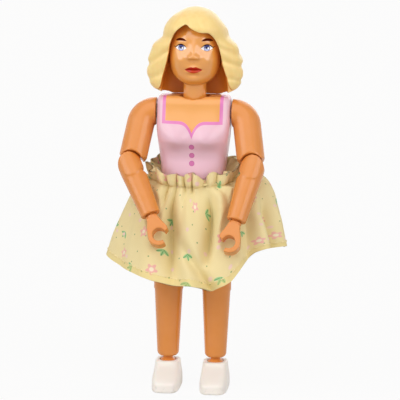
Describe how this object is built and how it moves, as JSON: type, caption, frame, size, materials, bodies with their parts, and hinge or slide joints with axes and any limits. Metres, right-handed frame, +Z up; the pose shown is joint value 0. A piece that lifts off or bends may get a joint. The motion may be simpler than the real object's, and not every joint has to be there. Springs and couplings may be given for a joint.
{
  "type": "articulated mini doll",
  "caption": "Jointed mini doll with moulded hair, a printed bodice, gripping hands, slip-on shoes and a gathered cloth skirt; its head, limbs and feet turn on pins.",
  "frame": {"origin": "middle of the base of the doll's box, on the surface that it stands on", "axes": "+Z up; the doll faces -Y and its right side is towards -X"},
  "size_m": [0.0516, 0.038, 0.11],
  "materials": {
    "skin": "satin moulded plastic, warm light skin",
    "bodice": "satin moulded plastic, pale pink with printed trim",
    "hair": "soft moulded plastic, pale blonde",
    "shoe": "soft moulded plastic, white",
    "pin": "plain moulded plastic",
    "skirt_cloth": "printed plain-weave cotton, pale yellow with small flowers",
    "elastic": "woven elastic"
  },
  "bodies": {
    "torso": {"torso_front": "bodice", "torso_back": "bodice", "pelvis": "bodice", "skirt": "skirt_cloth", "waist_elastic": "elastic"},
    "head": {"head": "skin", "hair": "hair"},
    "right_upper_arm": {"right_upper_arm": "skin", "right_shoulder_pin": "pin"},
    "right_forearm": {"right_forearm": "skin", "right_elbow_pin": "pin"},
    "right_hand": {"right_hand": "skin"},
    "right_thigh": {"right_thigh": "skin", "right_hip_pin": "pin"},
    "right_shin": {"right_shin": "skin", "right_knee_pin": "pin"},
    "right_ankle": {"right_ankle_stud": "skin"},
    "right_shoe": {"right_shoe": "shoe"},
    "left_upper_arm": {"left_upper_arm": "skin", "left_shoulder_pin": "pin"},
    "left_forearm": {"left_forearm": "skin", "left_elbow_pin": "pin"},
    "left_hand": {"left_hand": "skin"},
    "left_thigh": {"left_thigh": "skin", "left_hip_pin": "pin"},
    "left_shin": {"left_shin": "skin", "left_knee_pin": "pin"},
    "left_ankle": {"left_ankle_stud": "skin"},
    "left_shoe": {"left_shoe": "shoe"}
  },
  "joints": [
    {"name": "neck_turn", "type": "hinge", "parent": "torso", "child": "head", "pos_m": [-0.0013, 0.00099, 0.084], "axis": [0, 0, 1], "range_deg": [-75, 75]},
    {"name": "right_shoulder", "type": "hinge", "parent": "torso", "child": "right_upper_arm", "pos_m": [-0.01175, 0.00099, 0.0801], "axis": [-1, 0, 0], "range_deg": [0, 100], "deforming": ["skirt"]},
    {"name": "right_elbow", "type": "hinge", "parent": "right_upper_arm", "child": "right_forearm", "pos_m": [-0.01844, -0.00633, 0.06509], "axis": [0, -0.8988, 0.4384], "range_deg": [-34, 36], "deforming": ["skirt"]},
    {"name": "right_wrist", "type": "hinge", "parent": "right_forearm", "child": "right_hand", "pos_m": [-0.00901, -0.01512, 0.04708], "axis": [0.4258, -0.3967, -0.8133], "continuous": true},
    {"name": "right_hip", "type": "hinge", "parent": "torso", "child": "right_thigh", "pos_m": [-0.00821, 0.00099, 0.0511], "axis": [-1, 0, 0], "range_deg": [-30, 25], "deforming": ["skirt"]},
    {"name": "right_knee", "type": "hinge", "parent": "right_thigh", "child": "right_shin", "pos_m": [-0.00821, 0.00099, 0.0326], "axis": [1, 0, 0], "range_deg": [0, 75]},
    {"name": "right_ankle_tilt", "type": "hinge", "parent": "right_shin", "child": "right_ankle", "pos_m": [-0.00821, 0.00099, 0.0104], "axis": [1, 0, 0], "range_deg": [-15, 15]},
    {"name": "right_shoe_turn", "type": "hinge", "parent": "right_ankle", "child": "right_shoe", "pos_m": [-0.00821, 0.00099, 0.0104], "axis": [0, 0, 1], "range_deg": [-30, 30]},
    {"name": "left_shoulder", "type": "hinge", "parent": "torso", "child": "left_upper_arm", "pos_m": [0.00915, 0.00099, 0.0801], "axis": [1, 0, 0], "range_deg": [-100, 0], "deforming": ["skirt"]},
    {"name": "left_elbow", "type": "hinge", "parent": "left_upper_arm", "child": "left_forearm", "pos_m": [0.01583, -0.00633, 0.06509], "axis": [0, -0.8988, 0.4384], "range_deg": [-47.5, 22.5], "deforming": ["skirt"]},
    {"name": "left_wrist", "type": "hinge", "parent": "left_forearm", "child": "left_hand", "pos_m": [0.01058, -0.01577, 0.04575], "axis": [-0.2368, -0.4259, -0.8732], "continuous": true},
    {"name": "left_hip", "type": "hinge", "parent": "torso", "child": "left_thigh", "pos_m": [0.0056, 0.00099, 0.0511], "axis": [1, 0, 0], "range_deg": [-25, 30], "deforming": ["skirt"]},
    {"name": "left_knee", "type": "hinge", "parent": "left_thigh", "child": "left_shin", "pos_m": [0.0056, 0.00099, 0.0326], "axis": [1, 0, 0], "range_deg": [0, 75]},
    {"name": "left_ankle_tilt", "type": "hinge", "parent": "left_shin", "child": "left_ankle", "pos_m": [0.0056, 0.00099, 0.0104], "axis": [1, 0, 0], "range_deg": [-15, 15]},
    {"name": "left_shoe_turn", "type": "hinge", "parent": "left_ankle", "child": "left_shoe", "pos_m": [0.0056, 0.00099, 0.0104], "axis": [0, 0, 1], "range_deg": [-30, 30]}
  ]
}
